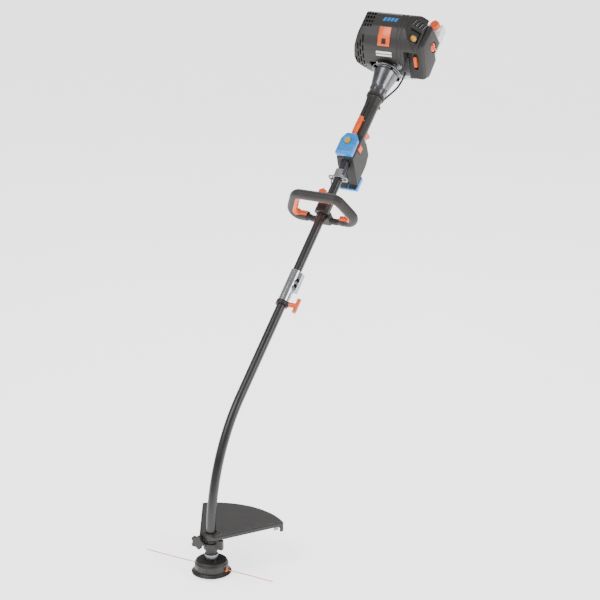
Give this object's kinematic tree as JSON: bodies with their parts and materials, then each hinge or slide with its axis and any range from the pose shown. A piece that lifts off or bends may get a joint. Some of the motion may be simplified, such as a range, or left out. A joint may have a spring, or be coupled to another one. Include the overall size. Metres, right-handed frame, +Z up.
{
  "type": "string trimmer",
  "caption": "Petrol string trimmer: curved split boom with bump-feed line head and guard, loop handle, trigger grip with start battery, clutch neck and two-stroke engine with tank.",
  "frame": {"origin": "middle of the bump knob's bottom face, on the ground under the cutting head", "axes": "+Z up along the cutting head's axis, +Y back toward the operator, +X toward the operator's left"},
  "size_m": [0.395, 1.2263, 1.3554],
  "materials": {
    "tube_paint": "satin charcoal powder coat",
    "charcoal_plastic": "moulded, fine spark texture",
    "grip_rubber": "soft overmould",
    "orange_plastic": "moulded, semi gloss",
    "blue_plastic": "moulded, semi gloss",
    "yellow_button": "moulded, soft",
    "polished_aluminium": "polished",
    "cast_aluminium": "die cast",
    "chromed_steel": "bright",
    "steel": "ground",
    "zinc_steel": "zinc plated",
    "black_screw": "black oxide",
    "milky_tank": "translucent blow moulded",
    "amber_bulb": "clear soft bulb",
    "line_nylon": "extruded nylon",
    "brass_eyelet": "turned",
    "cable_black": "smooth sheath"
  },
  "bodies": {
    "powerhead": {"upper_tube": "tube_paint", "shaft_bearings": "steel", "coupler_sleeve": "chromed_steel", "coupler_collar": "charcoal_plastic", "shaft_screws": "black_screw", "loop_handle": "grip_rubber", "handle_lining": "orange_plastic", "handle_clamp": "charcoal_plastic", "strap_hanger": "zinc_steel", "grip_shell_left": "charcoal_plastic", "grip_shell_right": "charcoal_plastic", "starter_cap": "blue_plastic", "throttle_cable": "cable_black", "clutch_housing": "polished_aluminium", "mount_ring": "grip_rubber", "crankcase": "cast_aluminium", "cylinder": "cast_aluminium", "spark_plug": "black_screw", "muffler": "steel", "carburettor": "cast_aluminium", "air_filter_cover": "charcoal_plastic", "engine_cover": "charcoal_plastic", "cover_latch": "orange_plastic", "fuel_tank": "milky_tank"},
    "boom": {"lower_tube": "tube_paint", "lower_drive_cable": "steel", "output_housing": "charcoal_plastic", "output_bearing": "steel", "guard": "charcoal_plastic", "guard_clamp": "charcoal_plastic", "line_cutter_blade": "steel"},
    "cutting_head": {"head_arbor": "polished_aluminium", "head_housing": "charcoal_plastic", "head_cover": "charcoal_plastic", "line_eyelets": "brass_eyelet", "spool_spring": "steel", "trimmer_line_left": "line_nylon", "trimmer_line_right": "line_nylon"},
    "spool_unit": {"spool": "charcoal_plastic", "line_winding": "line_nylon", "bump_knob": "charcoal_plastic"},
    "drive_line": {"drive_shaft": "steel", "clutch_drum": "steel"},
    "crank_set": {"crankshaft": "steel", "flywheel": "steel"},
    "piston_set": {"piston": "cast_aluminium", "connecting_rod": "steel"},
    "throttle_trigger": {"throttle_trigger": "orange_plastic"},
    "lockout_lever": {"lockout_lever": "orange_plastic"},
    "start_button": {"start_button": "yellow_button"},
    "stop_switch": {"stop_switch": "orange_plastic"},
    "battery_pack": {"battery_pack": "blue_plastic"},
    "choke_lever": {"choke_lever": "orange_plastic"},
    "fuel_cap": {"fuel_cap": "orange_plastic"},
    "filter_knob": {"filter_knob": "orange_plastic"},
    "coupler_knob": {"coupler_knob": "orange_plastic"},
    "handle_knob": {"handle_knob": "orange_plastic"},
    "guard_knob": {"guard_knob": "charcoal_plastic"},
    "strap_ring": {"strap_ring": "zinc_steel"},
    "primer_bulb": {"primer_bulb": "amber_bulb"}
  },
  "joints": [
    {"name": "boom_release", "type": "slide", "parent": "powerhead", "child": "boom", "axis": [0, -0.7396, -0.673], "range_m": [0, 0.06]},
    {"name": "head_spin", "type": "hinge", "parent": "boom", "child": "cutting_head", "pos_m": [0, 0, 0.03], "axis": [0, 0, 1], "continuous": true},
    {"name": "bump_feed", "type": "slide", "parent": "cutting_head", "child": "spool_unit", "axis": [0, 0, 1], "range_m": [0, 0.005], "stiffness_N_per_m": 2500, "springref_m": -0.004, "deforming": ["spool_spring"]},
    {"name": "drive_shaft_spin", "type": "hinge", "parent": "powerhead", "child": "drive_line", "pos_m": [0, 0.66802, 0.92424], "axis": [0, 0.7396, 0.673], "continuous": true},
    {"name": "crankshaft_spin", "type": "hinge", "parent": "powerhead", "child": "crank_set", "pos_m": [0, 1.00086, 1.2271], "axis": [0, 0.7396, 0.673], "continuous": true},
    {"name": "piston_stroke", "type": "slide", "parent": "powerhead", "child": "piston_set", "axis": [0, 0.673, -0.7396], "range_m": [0, 0.028]},
    {"name": "trigger_squeeze", "type": "hinge", "parent": "powerhead", "child": "throttle_trigger", "pos_m": [0, 0.80238, 1.02324], "axis": [1, 0, 0], "range_deg": [0, 14], "stiffness_Nm_per_rad": 0.3, "springref_deg": -8.59},
    {"name": "lockout_press", "type": "hinge", "parent": "powerhead", "child": "lockout_lever", "pos_m": [0, 0.80929, 1.07509], "axis": [1, 0, 0], "range_deg": [0, 5.5], "stiffness_Nm_per_rad": 0.3, "springref_deg": -8.59},
    {"name": "start_press", "type": "slide", "parent": "powerhead", "child": "start_button", "axis": [0, 0.673, -0.7396], "range_m": [0, 0.0025], "stiffness_N_per_m": 600, "springref_m": -0.002},
    {"name": "stop_rock", "type": "hinge", "parent": "powerhead", "child": "stop_switch", "pos_m": [0.022, 0.7512, 1.00668], "axis": [0, -0.673, 0.7396], "range_deg": [-5, 5]},
    {"name": "battery_release", "type": "slide", "parent": "powerhead", "child": "battery_pack", "axis": [0, 0.673, -0.7396], "range_m": [0, 0.055]},
    {"name": "choke_turn", "type": "hinge", "parent": "powerhead", "child": "choke_lever", "pos_m": [0.0865, 0.97625, 1.21552], "axis": [1, 0, 0], "range_deg": [0, 25]},
    {"name": "fuel_cap_turn", "type": "hinge", "parent": "powerhead", "child": "fuel_cap", "pos_m": [0.071, 1.12319, 1.2992], "axis": [0, -0.673, 0.7396], "range_deg": [0, 270]},
    {"name": "filter_knob_turn", "type": "hinge", "parent": "powerhead", "child": "filter_knob", "pos_m": [0.1054, 1.02923, 1.25832], "axis": [1, 0, 0], "range_deg": [0, 360]},
    {"name": "coupler_knob_turn", "type": "hinge", "parent": "powerhead", "child": "coupler_knob", "pos_m": [0.013, 0.36921, 0.65235], "axis": [1, 0, 0], "range_deg": [0, 360]},
    {"name": "handle_knob_turn", "type": "hinge", "parent": "powerhead", "child": "handle_knob", "pos_m": [-0.007, 0.60346, 0.90605], "axis": [0, -0.673, 0.7396], "range_deg": [0, 360]},
    {"name": "guard_knob_turn", "type": "hinge", "parent": "boom", "child": "guard_knob", "pos_m": [-0.025, -0.0213, 0.096], "axis": [0, -1, 0], "range_deg": [0, 360]},
    {"name": "strap_ring_swing", "type": "hinge", "parent": "powerhead", "child": "strap_ring", "pos_m": [-0.0205, 0.67663, 0.93261], "axis": [0, 0.7396, 0.673], "range_deg": [-20, 65]},
    {"name": "primer_press", "type": "slide", "parent": "powerhead", "child": "primer_bulb", "axis": [-0.7071, 0.4759, -0.523], "range_m": [0, 0.003], "stiffness_N_per_m": 400, "springref_m": -0.002}
  ],
  "couplings": [
    {"joint": "drive_shaft_spin", "follows": "head_spin", "ratio": 1}
  ]
}
